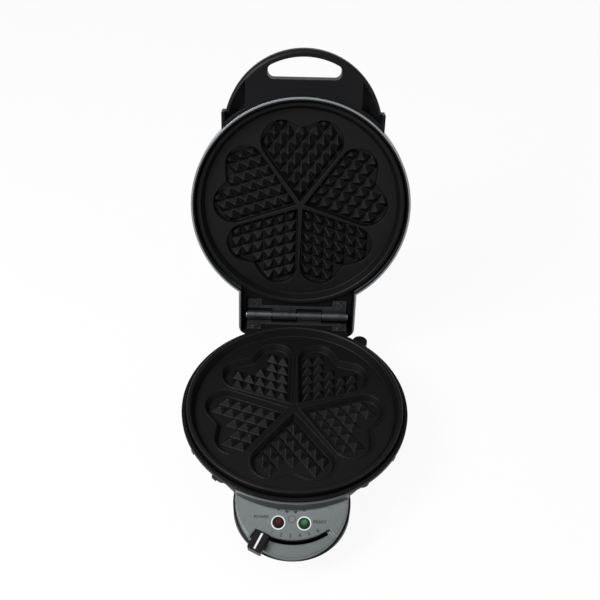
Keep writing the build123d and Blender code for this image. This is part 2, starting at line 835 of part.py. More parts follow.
with BuildPart() as hinge_mount:
    with BuildSketch(lid.offset(leaf_lift)):
        with Locations((0, hinge_y + mount_rear)):
            Rectangle(2 * (tongue_half - tongue_wall - mount_play), hinge_y,
                      align=(Align.CENTER, Align.MAX))
        Circle(plate_radius + mount_play, mode=Mode.SUBTRACT)
        Rectangle(2 * lid_radius, 2 * plate_radius * cos(radians(mount_angle)), mode=Mode.SUBTRACT)
    extrude(amount=tongue_top - tongue_wall - mount_play - leaf_lift)
    with BuildSketch(lid_leaf_plane.offset(leaf_lift)):
        with Locations(*ear_points):
            Circle(screw_radius + screw_play)
    extrude(amount=ear_bite + screw_play, mode=Mode.SUBTRACT)
save(hinge_mount, "lid_hinge_mount")

with BuildPart() as handle:
    with BuildSketch(lid.offset(handle_bottom)):
        add(handle_outline(0))
    extrude(amount=handle_top - handle_bottom)
    fillet(handle.edges().filter_by(GeomType.CIRCLE).group_by(SortBy.RADIUS)[0], handle_fillet)
    with BuildSketch(lid.offset(handle_bottom)):
        add(handle_outline(handle_wall))
        Rectangle(2 * pocket_inner, 4 * handle_radius, mode=Mode.SUBTRACT)
    extrude(amount=handle_top - handle_bottom - handle_deck, mode=Mode.SUBTRACT)
    with BuildSketch(lid.offset(handle_bottom)):
        add(grip_outline(0))
    extrude(amount=handle_top - handle_bottom, mode=Mode.SUBTRACT)
    for plane in radial_planes(handle_screw_height, lid_radius):
        with BuildSketch(plane):
            Circle(screw_radius + screw_play)
        extrude(amount=handle_screw_bite + screw_play, mode=Mode.SUBTRACT)
save(handle, "handle")

with BuildPart() as handle_screws:
    for plane in radial_planes(handle_screw_height, handle_seat):
        add(screws(plane, [(0, 0)], lid_wall + handle_screw_bite).part)
save(handle_screws, "handle_screws")


# ---------------------------------------------------------------- hinge
def hinge_leaf(plane):
    """Leaf with two rolled knuckles. The plane lies on the hinge axis and faces its mounting."""
    step = knuckle_length + knuckle_gap
    first = -(knuckle_count * step - knuckle_gap) / 2
    starts = [first + index * step for index in range(0, knuckle_count, 2)]
    end_on = Plane(origin=plane.origin, x_dir=plane.y_dir, z_dir=plane.x_dir)
    with BuildPart() as leaf:
        for start in starts:
            with BuildSketch(end_on.offset(start)):
                Circle(knuckle_radius)
                with Locations((leaf_reach / 2, leaf_lift - leaf_thickness / 2)):
                    Rectangle(leaf_reach, leaf_thickness)
                with Locations((0, leaf_lift / 2)):
                    Rectangle(leaf_thickness, leaf_lift)
            extrude(amount=knuckle_length)
        with BuildSketch(plane.offset(leaf_lift)):
            with Locations((0, leaf_reach - leaf_strip / 2)):
                Rectangle(-2 * first, leaf_strip)
            ear_middle = (ear_reach + leaf_reach - leaf_strip) / 2
            for side in (-1, 1):
                with Locations((side * (-first - ear_width / 2), ear_middle)):
                    Rectangle(ear_width, ear_reach - leaf_reach + leaf_strip)
            with Locations(*ear_points):
                Circle(screw_radius + screw_play, mode=Mode.SUBTRACT)
        extrude(amount=-leaf_thickness)
        with BuildSketch(end_on.offset(first)):
            Circle(hinge_pin_radius + hinge_play)
        extrude(amount=-2 * first, mode=Mode.SUBTRACT)
    return leaf


base_leaf = hinge_leaf(base_leaf_plane)
save(base_leaf, "base_hinge_leaf")
lid_leaf = hinge_leaf(lid_leaf_plane)
save(lid_leaf, "lid_hinge_leaf")

pin_half = (knuckle_count * knuckle_length + (knuckle_count - 1) * knuckle_gap) / 2 + knuckle_gap / 2
with BuildPart() as hinge_pin:
    with BuildSketch(Plane(origin=(-pin_half, hinge_y, parting_height), x_dir=(0, 1, 0), z_dir=(1, 0, 0))):
        Circle(hinge_pin_radius)
    extrude(amount=2 * pin_half)
    for side in (-1, 1):
        end = Plane(origin=(side * pin_half, hinge_y, parting_height), x_dir=(0, 1, 0), z_dir=(side, 0, 0))
        with BuildSketch(end):
            Circle(pin_cap_radius)
        extrude(amount=pin_cap_height)
save(hinge_pin, "hinge_pin")

leaf_face = leaf_lift - leaf_thickness
base_hinge_screws = screws(base_leaf_plane.offset(leaf_face), ear_points, leaf_thickness + ear_bite)
save(base_hinge_screws, "base_hinge_screws")
lid_hinge_screws = screws(lid_leaf_plane.offset(leaf_face), ear_points, leaf_thickness + ear_bite)
save(lid_hinge_screws, "lid_hinge_screws")


# ---------------------------------------------------------------- control panel
def sector(inner, outer, left, right):
    """Part of a ring round the slider's axis, between two angles from straight ahead."""
    with BuildSketch() as plan:
        with BuildLine():
            near = CenterArc((0, 0), inner, left - 90, right - left)
            far = CenterArc((0, 0), outer, left - 90, right - left)
            Line(near @ 0, far @ 0)
            Line(near @ 1, far @ 1)
        make_face()
    return plan.sketch


def panel_prism(radius, back, drop):
    """Upright prism of the panel's plan, outside a round back, cut off under the panel's face."""
    with BuildPart() as body:
        with BuildSketch(Plane.XY.offset(chin_low - fascia_skirt)):
            with Locations((0, fascia_centre)):
                Circle(radius)
            Circle(back, mode=Mode.SUBTRACT)
        extrude(amount=rim_height - chin_low + fascia_skirt)
        split(bisect_by=panel.offset(-drop), keep=Keep.BOTTOM)
    return body.part


def bosses(plane, points, radius, bottom):
    """Upright bosses under a sloping plane, down to a level."""
    with BuildPart() as body:
        with BuildSketch(Plane.XY.offset(bottom)):
            with Locations(*points):
                Circle(radius)
        extrude(amount=rim_height)
        split(bisect_by=plane, keep=Keep.BOTTOM)
    return body.part


collar_inner = rim_radius + collar_play
collar_outer = collar_inner + collar_thickness
lamp_points = [(side * lamp_spacing / 2, lamp_y) for side in (-1, 1)]

with BuildPart() as fascia_pocket:
    add(panel_prism(fascia_radius - fascia_wall, collar_outer, fascia_wall))
    with BuildSketch(pivot.offset(-terrace_drop - fascia_wall)):
        add(sector(notch_radius - slot_margin, 2 * notch_radius, notch_left - slot_margin,
                   notch_right + slot_margin))
    extrude(amount=terrace_drop + 2 * fascia_wall, mode=Mode.SUBTRACT)

with BuildPart() as control_fascia:
    add(panel_prism(fascia_radius, collar_inner, 0))
    with BuildSketch(Plane.XY.offset(chin_low)):
        Circle(collar_outer)
        Circle(collar_inner, mode=Mode.SUBTRACT)
        with Locations((0, fascia_centre)):
            Circle(fascia_radius, mode=Mode.INTERSECT)
    extrude(amount=collar_top - chin_low)
    split(bisect_by=seam, keep=Keep.TOP)
    with BuildSketch(pivot.offset(-terrace_drop)):
        add(sector(notch_radius, 2 * notch_radius, notch_left, notch_right))
    extrude(amount=2 * terrace_drop, mode=Mode.SUBTRACT)
    add(fascia_pocket.part, mode=Mode.SUBTRACT)
    add(bosses(panel.offset(-fascia_wall), fascia_screw_points, fascia_boss_radius, fascia_tower_top))
    with BuildSketch(Plane.XY.offset(fascia_tower_top)):
        with Locations(*fascia_screw_points):
            Circle(screw_radius + screw_play)
    extrude(amount=screw_bite + screw_play, mode=Mode.SUBTRACT)
    with BuildSketch(pivot.offset(-fascia_skirt)):
        add(sector(notch_radius, notch_radius + slot_width, notch_left + slot_margin,
                   notch_right - slot_margin))
    extrude(amount=fascia_skirt, mode=Mode.SUBTRACT)
    with BuildSketch(panel):
        with Locations(*lamp_points):
            Circle(lens_radius + lens_play)
    extrude(amount=-2 * fascia_wall, mode=Mode.SUBTRACT)
save(control_fascia, "control_fascia")

fascia_screws = screws(Plane.XY.offset(fascia_tower_top - screw_web), fascia_screw_points,
                       screw_web + screw_bite)
save(fascia_screws, "fascia_screws")

with BuildPart() as bezels:
    with BuildSketch(panel):
        with Locations(*lamp_points):
            Circle(bezel_radius)
            Circle(lens_radius + lens_play, mode=Mode.SUBTRACT)
    extrude(amount=bezel_height)
save(bezels, "lamp_bezels")

for point, colour in zip(lamp_points, ("red", "green")):
    with BuildPart() as lens:
        with BuildSketch(panel.offset(-lens_depth)):
            with Locations(point):
                Circle(lens_radius)
        extrude(amount=lens_depth + lens_rise)
        fillet(lens.edges().filter_by(GeomType.CIRCLE).sort_by(axis_of(panel))[-1], lens_round)
    save(lens, f"{colour}_lens")

with BuildPart() as lamp_holder:
    with BuildSketch(panel.offset(-lens_depth)):
        with Locations((0, lamp_y)):
            RectangleRounded(holder_length, holder_width, holder_corner)
    extrude(amount=-holder_thickness)
save(lamp_holder, "lamp_holder")

with BuildPart() as neons:
    with BuildSketch(panel.offset(-lens_depth - holder_thickness)):
        with Locations(*lamp_points):
            Circle(neon_radius)
    extrude(amount=-neon_length)
save(neons, "neon_lamps")


# ---------------------------------------------------------------- slider and thermostat
knob_middle = (0, -(knob_back + knob_front) / 2)
knob_bottom = slider.offset(knob_lift - terrace_drop)
knob_top = knob_bottom.offset(knob_height)
rib_count = int((knob_front - knob_back) / rib_pitch)
pointer_length = knob_front - knob_back - 2 * knob_corner

with BuildPart() as knob:
    with BuildSketch(knob_bottom):
        with Locations(knob_middle):
            RectangleRounded(knob_width, knob_front - knob_back, knob_corner)
    extrude(amount=knob_height)
    fillet(knob.faces().sort_by(axis_of(slider))[-1].edges(), knob_corner / 2)
    with BuildSketch(knob_bottom):
        for side in (-1, 1):
            with Locations((side * knob_width / 2, knob_middle[1])):
                with GridLocations(0, rib_pitch, 1, rib_count):
                    Rectangle(2 * rib_depth, rib_pitch - rib_width)
    extrude(amount=knob_height - knob_corner, mode=Mode.SUBTRACT)
    with BuildSketch(knob_top):
        with Locations(knob_middle):
            Rectangle(pointer_width, pointer_length)
    extrude(amount=-pointer_depth, mode=Mode.SUBTRACT)
    with BuildSketch(knob_bottom):
        with Locations((0, -notch_radius - slot_width / 2)):
            Rectangle(stem_width, lever_thickness)
    extrude(amount=stem_bite, mode=Mode.SUBTRACT)
save(knob, "slider_knob")

with BuildPart() as pointer:
    with BuildSketch(knob_top):
        with Locations(knob_middle):
            Rectangle(pointer_width, pointer_length)
    extrude(amount=-pointer_depth)
save(pointer, "knob_pointer")

with BuildPart() as lever:
    with BuildSketch(slider.offset(-lever_depth)):
        Circle(hub_radius)
        with Locations((0, -(notch_radius + slot_width / 2 + lever_thickness / 2) / 2)):
            Rectangle(lever_width, notch_radius + slot_width / 2 + lever_thickness / 2)
    extrude(amount=lever_thickness)
    with BuildSketch(slider.offset(-lever_depth)):
        with Locations((0, -notch_radius - slot_width / 2)):
            Rectangle(stem_width, lever_thickness)
    extrude(amount=lever_depth + knob_lift - terrace_drop + stem_bite)
    with BuildSketch(slider.offset(-lever_depth)):
        Circle(spindle_radius)
    extrude(amount=lever_thickness, mode=Mode.SUBTRACT)
save(lever, "slider_lever")

thermostat_top = -lever_depth - lever_gap
spindle_low = thermostat_top - spindle_bite
with BuildPart() as spindle:
    with BuildSketch(slider.offset(spindle_low)):
        Circle(spindle_radius)
    extrude(amount=-spindle_low - lever_depth + lever_thickness)
save(spindle, "thermostat_spindle")

with BuildPart() as thermostat:
    with BuildSketch(pivot.offset(thermostat_top)):
        RectangleRounded(thermostat_width, thermostat_depth, thermostat_corner)
    extrude(amount=-thermostat_height)
    with BuildSketch(pivot.offset(thermostat_top)):
        Circle(spindle_radius + spindle_play)
    extrude(amount=-spindle_bite - spindle_play, mode=Mode.SUBTRACT)
save(thermostat, "thermostat_body")

plate_underside = lower_face.origin.Z - plate_back
thermostat_base = pivot.offset(thermostat_top - thermostat_height)
with BuildPart() as bracket:
    with BuildSketch(thermostat_base):
        with Locations((0, bracket_thickness / 2)):
            Rectangle(thermostat_width, thermostat_depth + bracket_thickness)
    extrude(amount=-bracket_thickness)
    with BuildSketch(thermostat_base):
        with Locations((0, (thermostat_depth + bracket_thickness) / 2)):
            Rectangle(thermostat_width, bracket_thickness)
    extrude(amount=plate_underside)
    split(bisect_by=Plane.XY.offset(plate_underside), keep=Keep.BOTTOM)
    leg_end = bracket.faces().sort_by(Axis.Z)[-1].center().Y
    with BuildSketch(Plane.XY.offset(plate_underside)):
        with Locations((0, leg_end)):
            Rectangle(thermostat_width, bracket_flange, align=(Align.CENTER, Align.MAX))
    extrude(amount=-bracket_thickness)
save(bracket, "thermostat_bracket")

fuse_level = plate_underside - fuse_radius - element_seat
fuse_end = Plane(origin=(-fuse_length / 2, fuse_y, fuse_level), x_dir=(0, 1, 0), z_dir=(1, 0, 0))
with BuildPart() as fuse:
    with BuildSketch(fuse_end):
        Circle(fuse_radius)
    extrude(amount=fuse_length)
    for end in (fuse_end, fuse_end.offset(fuse_length + fuse_lead)):
        with BuildSketch(end):
            Circle(pin_radius / 2)
        extrude(amount=-fuse_lead)
save(fuse, "thermal_fuse")

strap_inner = fuse_radius + element_seat
strap_outer = strap_inner + fuse_strap_thickness
with BuildPart() as fuse_clip:
    with BuildSketch(fuse_end.offset((fuse_length - fuse_clip_width) / 2)):
        Circle(strap_outer)
        Rectangle(2 * strap_outer, strap_inner, align=(Align.CENTER, Align.MIN))
        with Locations((0, strap_inner - fuse_strap_thickness / 2)):
            Rectangle(fuse_strap, fuse_strap_thickness)
        with Locations((0, strap_inner)):
            Rectangle(fuse_strap, fuse_strap, align=(Align.CENTER, Align.MIN), mode=Mode.SUBTRACT)
        Circle(strap_inner, mode=Mode.SUBTRACT)
        Rectangle(2 * strap_inner, fuse_strap, align=(Align.CENTER, Align.MIN), mode=Mode.SUBTRACT)
    extrude(amount=fuse_clip_width)
save(fuse_clip, "fuse_clip")

terminal_width, terminal_depth, terminal_height = terminal_size
with BuildPart() as terminal_block:
    with BuildSketch(Plane.XY.offset(base_clearance + shell_wall)):
        with Locations(terminal_centre):
            Rectangle(terminal_width, terminal_depth)
    extrude(amount=terminal_height)
    with BuildSketch(Plane.XY.offset(base_clearance + shell_wall + terminal_height)):
        with Locations(terminal_centre):
            with GridLocations(terminal_width / terminal_ways, terminal_depth / 2, terminal_ways, 2):
                Circle(screw_radius)
    extrude(amount=-terminal_height / 2, mode=Mode.SUBTRACT)
save(terminal_block, "terminal_block")

with BuildPart() as gland:
    with BuildSketch(Plane.XY.offset(sleeve_bottom)):
        with Locations(outlet_point):
            Circle(gland_radius)
    extrude(amount=sleeve_top - sleeve_bottom - shell_wall)
    with BuildSketch(Plane.XY.offset(sleeve_bottom)):
        with Locations(outlet_point):
            Circle(gland_flange)
    extrude(amount=-gland_flange_height)
    with BuildSketch(Plane.XY.offset(sleeve_bottom - gland_flange_height)):
        with Locations(outlet_point):
            Circle(gland_bore)
    extrude(amount=sleeve_top - sleeve_bottom, mode=Mode.SUBTRACT)
save(gland, "cord_gland")
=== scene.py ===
"""Electric waffle maker for five hearts, open on a pale studio floor.

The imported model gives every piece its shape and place. This script adds the panel's printed marks,
the finish of every surface, the studio and the camera.
"""
import json
import logging
import math
from dataclasses import dataclass, field
from enum import Enum

import bmesh
import bpy
from mathutils import Matrix, Vector


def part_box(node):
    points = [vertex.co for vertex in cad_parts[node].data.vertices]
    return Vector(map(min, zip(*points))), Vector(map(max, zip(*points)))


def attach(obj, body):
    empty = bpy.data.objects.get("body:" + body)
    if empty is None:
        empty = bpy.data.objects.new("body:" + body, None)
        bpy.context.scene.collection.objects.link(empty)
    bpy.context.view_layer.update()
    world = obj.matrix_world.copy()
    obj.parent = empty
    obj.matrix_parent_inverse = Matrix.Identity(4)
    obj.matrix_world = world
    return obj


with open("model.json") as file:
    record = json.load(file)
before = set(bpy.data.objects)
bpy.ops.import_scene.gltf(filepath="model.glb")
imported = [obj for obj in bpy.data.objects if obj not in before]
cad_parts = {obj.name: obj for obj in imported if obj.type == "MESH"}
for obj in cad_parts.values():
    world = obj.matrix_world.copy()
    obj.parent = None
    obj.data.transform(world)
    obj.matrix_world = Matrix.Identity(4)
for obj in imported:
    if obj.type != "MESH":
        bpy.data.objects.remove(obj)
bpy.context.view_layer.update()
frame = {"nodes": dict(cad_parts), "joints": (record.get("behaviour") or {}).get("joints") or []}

log = logging.getLogger("waffle_maker")

MM = 0.001
Colour = tuple[float, float, float]
WHITE: Colour = (1.0, 1.0, 1.0)


# ---------------------------------------------------------------- shader expressions
class Signal:
    """One value in a material's node tree. Arithmetic on it adds the Math nodes."""

    def __init__(self, tree: "Tree", socket: bpy.types.NodeSocket) -> None:
        """Wrap an output socket.

        Args:
            tree: The node tree that the socket belongs to.
            socket: The output socket.
        """
        self.tree = tree
        self.socket = socket

    def _math(self, operation: str, *values: "Value") -> "Signal":
        """Return the result of a Math node on these values."""
        return self.tree.node("ShaderNodeMath", {"operation": operation}, dict(enumerate(values)))

    def __add__(self, other: "Value") -> "Signal":
        """Return the sum."""
        return self._math("ADD", self, other)

    __radd__ = __add__

    def __mul__(self, other: "Value") -> "Signal":
        """Return the product."""
        return self._math("MULTIPLY", self, other)

    __rmul__ = __mul__

    def __sub__(self, other: "Value") -> "Signal":
        """Return the difference."""
        return self._math("SUBTRACT", self, other)

    def __rsub__(self, other: "Value") -> "Signal":
        """Return the difference, with this value taken away."""
        return self._math("SUBTRACT", other, self)

    def __abs__(self) -> "Signal":
        """Return the size without its sign."""
        return self._math("ABSOLUTE", self)

    def greater(self, limit: "Value") -> "Signal":
        """Return 1 where the value is over the limit and 0 elsewhere."""
        return self._math("GREATER_THAN", self, limit)

    def largest(self, other: "Value") -> "Signal":
        """Return the larger of two values."""
        return self._math("MAXIMUM", self, other)

    def between(self, low: float, high: float, start: "Value" = 0.0, end: "Value" = 1.0) -> "Signal":
        """Map this value smoothly from one range to another.

        Args:
            low: The value that gives start.
            high: The value that gives end.
            start: The result at low and below it.
            end: The result at high and above it.

        Returns:
            The mapped value.
        """
        values = {"Value": self, "From Min": low, "From Max": high, "To Min": start, "To Max": end}
        return self.tree.node("ShaderNodeMapRange", {"interpolation_type": "SMOOTHSTEP"}, values, "Result")


Value = Signal | float | int | tuple


class Tree:
    """The node tree of a material or of the world, with one method that makes any node."""

    def __init__(self, owner: bpy.types.Material | bpy.types.World) -> None:
        """Start with an empty tree.

        Args:
            owner: The material or the world that holds the tree.
        """
        self.owner = owner
        owner.use_nodes = True
        self.nodes = owner.node_tree.nodes
        self.links = owner.node_tree.links
        self.nodes.clear()

    @classmethod
    def of_material(cls, name: str) -> "Tree":
        """Return the empty tree of a new material."""
        return cls(bpy.data.materials.new(name))

    def _feed(self, socket: bpy.types.NodeSocket, value: Value) -> None:
        """Link a signal to an input socket, or set the socket's own value."""
        if isinstance(value, Signal):
            self.links.new(value.socket, socket)
        elif isinstance(value, tuple) and socket.type == "RGBA" and len(value) == 3:
            socket.default_value = (*value, 1.0)
        else:
            socket.default_value = value

    def node(self, kind: str, settings: dict | None = None, values: dict | None = None,
             output: str | int = 0) -> Signal:
        """Make one node.

        Args:
            kind: The node's type.
            settings: The node's own settings.
            values: Values or signals, by the input's name or number.
            output: The output to return.

        Returns:
            The chosen output.
        """
        made = self.nodes.new(kind)
        for key, setting in (settings or {}).items():
            setattr(made, key, setting)
        for key, value in (values or {}).items():
            self._feed(made.inputs[key], value)
        return Signal(self, made.outputs[output]) if made.outputs else Signal(self, None)

    def place(self) -> Signal:
        """Return the place on the piece, in metres."""
        return self.node("ShaderNodeTexCoord", output="Object")

    def stretched(self, scale: tuple[float, float, float]) -> Signal:
        """Return the place, stretched along the axes."""
        return self.node("ShaderNodeMapping", {"vector_type": "POINT"},
                         {"Vector": self.place(), "Scale": scale})

    def noise(self, grain: float, detail: float = 2.0, stretch: tuple | None = None) -> Signal:
        """Return noise between 0 and 1.

        Args:
            grain: The size of its largest features, in metres.
            detail: The number of finer layers.
            stretch: How much the pattern is squeezed along each axis, if it is.

        Returns:
            The noise.
        """
        place = self.stretched(stretch) if stretch else self.place()
        return self.node("ShaderNodeTexNoise", {"noise_dimensions": "3D"},
                         {"Vector": place, "Scale": 1.0 / grain, "Detail": detail}, "Fac")

    def mixed(self, mask: Value, first: Value, second: Value) -> Signal:
        """Return a colour between two, by a mask."""
        return self.node("ShaderNodeMix", {"data_type": "RGBA"}, {0: mask, 6: first, 7: second}, 2)

    def apart(self, first: Value, second: Value) -> Signal:
        """Return the difference of two vectors."""
        return self.node("ShaderNodeVectorMath", {"operation": "SUBTRACT"}, {0: first, 1: second}, "Vector")

    def scaled(self, vector: Value, scale: Value) -> Signal:
        """Return a vector made longer or shorter."""
        return self.node("ShaderNodeVectorMath", {"operation": "SCALE"}, {0: vector, 3: scale}, "Vector")

    def dot(self, first: Value, second: Value) -> Signal:
        """Return the product of two vectors."""
        return self.node("ShaderNodeVectorMath", {"operation": "DOT_PRODUCT"},
                         {0: first, 1: second}, "Value")

    def length(self, vector: Value) -> Signal:
        """Return a vector's length."""
        return self.node("ShaderNodeVectorMath", {"operation": "LENGTH"}, {0: vector}, "Value")

    def rounded(self, radius: float) -> Signal:
        """Return the surface's normal with its edges rounded off."""
        return self.node("ShaderNodeBevel", {"samples": 6}, {"Radius": radius})

    def edge(self, rounding: Signal) -> Signal:
        """Return how far the rounded normal leaves the true one: near 0 on faces, more on edges."""
        true = self.node("ShaderNodeNewGeometry", output="Normal")
        return 1.0 - self.dot(rounding, true)

    def bump(self, height: Signal, depth: float, normal: Signal) -> Signal:
        """Return the normal of a surface that has this relief.

        Args:
            height: The relief, between 0 and 1.
            depth: The relief's full depth, in metres.
            normal: The normal before the relief.

        Returns:
            The new normal.
        """
        return self.node("ShaderNodeBump", None,
                         {"Height": height, "Distance": depth, "Strength": 1.0, "Normal": normal})

    def surface(self, **values: Value) -> bpy.types.Material:
        """Finish the material with a Principled shader.

        Args:
            values: The shader's inputs, with underscores for the spaces in their names.

        Returns:
            The material.
        """
        named = {key.replace("_", " ").replace("Ior", "IOR"): value for key, value in values.items()}
        shader = self.node("ShaderNodeBsdfPrincipled", None, named)
        self.node("ShaderNodeOutputMaterial", None, {"Surface": shader})
        return self.owner


# ---------------------------------------------------------------- finishes
# The lacquer's metal flakes, in metres, and the haze over them
FLAKE_GRAIN = 0.00035
FLAKE_LEVELS = (0.48, 0.62)
FLAKE_RELIEF = 0.00002
HAZE_GRAIN = 0.05


@dataclass(frozen=True)
class NonStickCoating:
    """Black coating of the cast plates: fine grain, softened ridges, a little shine on the edges and a
    painted highlight in patches along them.
    """

    name: str = "non_stick_coating"
    colour: Colour = (0.0034, 0.0033, 0.0035)
    # The lighter colour of the painted highlight along the ridges.
    worn: Colour = (0.015, 0.0148, 0.0152)
    roughness: float = 0.38
    rounding: float = 0.0009
    cloud_grain: float = 0.030
    speckle_grain: float = 0.0009
    relief: float = 0.00008

    def material(self) -> bpy.types.Material:
        """Return the material."""
        tree = Tree.of_material(self.name)
        rounding = tree.rounded(self.rounding)
        ridge = tree.edge(rounding).between(0.01, 0.16)
        cloud = tree.noise(self.cloud_grain, 3.0)
        speckle = tree.noise(self.speckle_grain, 3.0)
        # The ridges are painted lighter in patches: a painted highlight.
        colour = tree.mixed(ridge * cloud.between(0.3, 0.7), self.colour, self.worn)
        roughness = self.roughness + 0.10 * cloud + 0.08 * speckle - 0.08 * ridge
        relief = tree.bump(speckle, self.relief, rounding)
        return tree.surface(Base_Color=colour, Roughness=roughness, Specular_Ior_Level=0.22, Normal=relief)


@dataclass(frozen=True)
class MouldedPlastic:
    """Black moulded plastic with a fine sparked grain, smoother along its edges from rubbing, and painted
    lighter there as a sheen.
    """

    name: str = "black_moulding"
    colour: Colour = (0.0042, 0.0043, 0.0048)
    # Lighter colour for the painted sheen on the edges and for random handling patches.
    edge_sheen_and_handling: Colour = (0.011, 0.0113, 0.0122)
    roughness: float = 0.40
    rounding: float = 0.0012
    grain: float = 0.0006
    handling: float = 0.045
    relief: float = 0.00006

    def material(self) -> bpy.types.Material:
        """Return the material."""
        tree = Tree.of_material(self.name)
        rounding = tree.rounded(self.rounding)
        edge = tree.edge(rounding).between(0.01, 0.20)
        handled = tree.noise(self.handling, 4.0)
        grain = tree.noise(self.grain, 2.0)
        # The edges are painted lighter as a painted sheen; the random handled patches are the moulding's
        # own tone.
        colour = tree.mixed(edge * 0.7 + 0.3 * handled.between(0.45, 0.75), self.colour, self.edge_sheen_and_handling)
        roughness = self.roughness + 0.12 * handled + 0.05 * grain - 0.10 * edge
        relief = tree.bump(grain, self.relief, rounding)
        return tree.surface(Base_Color=colour, Roughness=roughness, Specular_Ior_Level=0.16, Normal=relief)


@dataclass(frozen=True)
class SilverLacquer:
    """Silver lacquer on plastic: metal flakes under a thin clear coat, with a painted highlight along its
    edges.
    """

    name: str = "silver_lacquer"
    colour: Colour = (0.30, 0.32, 0.335)
    flake: Colour = (0.46, 0.48, 0.50)
    roughness: float = 0.34
    rounding: float = 0.0012
    rub_grain: float = 0.012
    rub_stretch: tuple[float, float, float] = (1.0, 6.0, 1.0)

    def material(self) -> bpy.types.Material:
        """Return the material."""
        tree = Tree.of_material(self.name)
        rounding = tree.rounded(self.rounding)
        edge = tree.edge(rounding).between(0.02, 0.25)
        flakes = tree.noise(FLAKE_GRAIN, 1.0).between(*FLAKE_LEVELS)
        haze = tree.noise(HAZE_GRAIN, 4.0)
        rubs = tree.noise(self.rub_grain, 4.0, self.rub_stretch).between(0.60, 0.75)
        # Flakes lighten the colour at random; the edges are mixed towards the flake colour as a painted
        # highlight.
        colour = tree.mixed(0.5 * flakes + 0.35 * edge, self.colour, self.flake)
        roughness = self.roughness + 0.07 * haze + 0.10 * rubs - 0.05 * flakes
        relief = tree.bump(flakes, FLAKE_RELIEF, rounding)
        return tree.surface(Base_Color=colour, Roughness=roughness, Metallic=0.72, Coat_Weight=0.25,
                            Coat_Roughness=0.18, Normal=relief)


@dataclass(frozen=True)
class LacqueredLid:
    """Black moulding lacquered silver outside; the paint ends in a thin line at the parting face."""

    name: str = "lacquered_lid"
    lacquer: Colour = (0.30, 0.32, 0.335)
    flake: Colour = (0.46, 0.48, 0.50)
    bare: Colour = (0.0042, 0.0043, 0.0048)
    middle: tuple[float, float, float] = (0.0, 0.15443, 0.17785)
    axis: tuple[float, float, float] = (0.0, 0.94552, -0.32557)
    hingeward: tuple[float, float, float] = (0.0, -0.32557, -0.94552)
    paint_reach: float = 0.1057
    shroud_half: float = 0.0588
    shroud_start: float = 0.075
    side_weight: float = 10.0
    outward_limit: float = 0.15
    metallic: float = 0.72
    coat: float = 0.25
    rounding: float = 0.0009

    def material(self) -> bpy.types.Material:
        """Return the material."""
        tree = Tree.of_material(self.name)
        paint = self._paint(tree)
        rounding = tree.rounded(self.rounding)
        flakes = tree.noise(FLAKE_GRAIN, 1.0).between(*FLAKE_LEVELS)
        haze = tree.noise(HAZE_GRAIN, 4.0)
        silver = tree.mixed(0.5 * flakes, self.lacquer, self.flake)
        colour = tree.mixed(paint, self.bare, silver)
        roughness = 0.38 + 0.08 * haze - 0.04 * flakes
        relief = tree.bump(flakes, FLAKE_RELIEF, rounding)
        return tree.surface(Base_Color=colour, Roughness=roughness, Metallic=self.metallic * paint,
                            Coat_Weight=self.coat * paint, Coat_Roughness=0.18, Specular_Ior_Level=0.22,
                            Normal=relief)

    def _paint(self, tree: Tree) -> Signal:
        """Return 1 where the lid is lacquered and 0 where the moulding is bare."""
        offset = tree.apart(tree.place(), self.middle)
        radial = tree.apart(offset, tree.scaled(self.axis, tree.dot(offset, self.axis)))
        reach = tree.length(radial)
        facing = tree.node("ShaderNodeTexCoord", output="Normal")
        outward = self.side_weight * tree.dot(facing, radial) + tree.dot(facing, self.axis)
        across = abs(tree.node("ShaderNodeSeparateXYZ", None, {0: tree.place()}, "X"))
        behind = tree.dot(offset, self.hingeward).greater(self.shroud_start)
        shroud = behind * (1.0 - across.greater(self.shroud_half))
        line = reach.greater(self.paint_reach) * (1.0 - shroud)
        return outward.greater(self.outward_limit).largest(line)


@dataclass(frozen=True)
class Metal:
    """Bare or plated metal with fine drawn lines and a little tarnish."""

    name: str
    colour: Colour
    tarnish: Colour
    roughness: float = 0.32
    rounding: float = 0.0003
    lines: tuple[float, float, float] = (1.0, 12.0, 1.0)
    line_grain: float = 0.004
    stain_grain: float = 0.018
    relief: float = 0.00002

    def material(self) -> bpy.types.Material:
        """Return the material."""
        tree = Tree.of_material(self.name)
        rounding = tree.rounded(self.rounding)
        drawn = tree.noise(self.line_grain, 3.0, self.lines)
        stain = tree.noise(self.stain_grain, 4.0).between(0.45, 0.75)
        colour = tree.mixed(stain, self.colour, self.tarnish)
        roughness = self.roughness + 0.14 * drawn + 0.10 * stain
        relief = tree.bump(drawn, self.relief, rounding)
        return tree.surface(Base_Color=colour, Roughness=roughness, Metallic=0.95, Normal=relief)


@dataclass(frozen=True)
class Compound:
    """Plain soft or fired material, such as rubber or ceramic: mottled, with a fine grain."""

    name: str
    colour: Colour
    mottled: Colour
    roughness: float
    grain: float = 0.0008
    depth: float = 0.00006
    rounding: float = 0.0005
    cloud_grain: float = 0.012

    def material(self) -> bpy.types.Material:
        """Return the material."""
        tree = Tree.of_material(self.name)
        rounding = tree.rounded(self.rounding)
        cloud = tree.noise(self.cloud_grain, 4.0)
        grain = tree.noise(self.grain, 2.0)
        colour = tree.mixed(cloud.between(0.35, 0.7), self.colour, self.mottled)
        roughness = self.roughness + 0.10 * cloud - 0.05 * grain
        relief = tree.bump(grain, self.depth, rounding)
        return tree.surface(Base_Color=colour, Roughness=roughness, Normal=relief)


